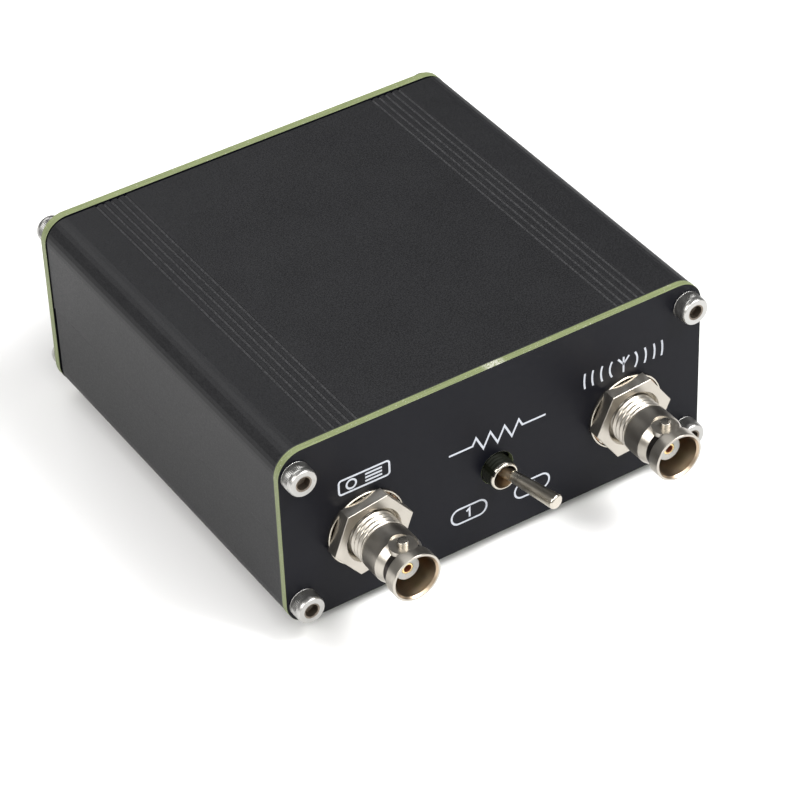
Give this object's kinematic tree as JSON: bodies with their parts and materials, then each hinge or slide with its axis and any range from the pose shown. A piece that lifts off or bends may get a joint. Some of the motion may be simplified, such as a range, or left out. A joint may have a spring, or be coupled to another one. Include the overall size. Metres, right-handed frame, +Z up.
{
  "type": "antenna tuner",
  "caption": "Small antenna tuner in a split extruded aluminium case with end panels, bayonet coaxial jacks and an impedance toggle switch.",
  "frame": {"origin": "on the resting surface under the middle of the whole unit, jacks and screw heads included", "axes": "+X to the antenna jack's side, +Y from the front panel to the back panel, +Z up"},
  "size_m": [0.088, 0.1028, 0.0408],
  "materials": {
    "black_anodised": "satin black anodised extrusion",
    "panel_black": "matt black mask over glass-fibre board, olive cut edges",
    "stainless": "turned stainless, knurled head",
    "clear_bumper": "clear soft bumper, glossy",
    "nickel": "warm satin nickel plate",
    "ptfe": "waxy white",
    "gold": "gold plate",
    "tinned_steel": "tinned",
    "phenolic": "dark blue moulding",
    "nylon": "natural nylon",
    "circuit_board": "green mask over glass-fibre board",
    "iron_powder": "red painted iron powder",
    "enamelled_copper": "enamelled copper",
    "dipped_mica": "dipped brown coating",
    "lead_wire": "black insulated wire"
  },
  "bodies": {
    "root": {"upper_shell": "black_anodised", "lower_shell": "black_anodised", "front_panel": "panel_black", "back_panel": "panel_black", "front_screws": "stainless", "back_screws": "stainless", "feet": "clear_bumper", "radio_jack_body": "nickel", "antenna_jack_body": "nickel", "radio_jack_nut": "nickel", "antenna_jack_nut": "nickel", "radio_jack_washer": "nickel", "antenna_jack_washer": "nickel", "switch_bushing": "nickel", "radio_jack_insulator": "ptfe", "antenna_jack_insulator": "ptfe", "radio_jack_contact": "gold", "antenna_jack_contact": "gold", "switch_frame": "tinned_steel", "switch_terminals": "tinned_steel", "ground_leads": "tinned_steel", "switch_case": "phenolic", "inductor_spacer": "nylon", "inductor_clamp_washer": "nylon", "inductor_clamp_screw": "nylon", "inductor_clamp_nut": "nylon", "main_board": "circuit_board", "inductor_core": "iron_powder", "inductor_winding": "enamelled_copper", "matching_capacitors": "dipped_mica", "radio_lead": "lead_wire", "antenna_lead": "lead_wire"},
    "lever": {"toggle_lever": "nickel", "lever_spring": "tinned_steel", "lever_plunger": "nylon"},
    "rocker": {"rocker_contact": "gold"}
  },
  "joints": [
    {"name": "lever_throw", "type": "hinge", "parent": "root", "child": "lever", "pos_m": [-0.0003, -0.03305, 0.018], "axis": [0, 0, 1], "range_deg": [-25, 0]},
    {"name": "rocker_tilt", "type": "hinge", "parent": "root", "child": "rocker", "pos_m": [-0.0003, -0.02505, 0.018], "axis": [0, 0, 1], "range_deg": [0, 16]}
  ],
  "couplings": [
    {"joint": "rocker_tilt", "follows": "lever_throw", "ratio": -0.64}
  ]
}
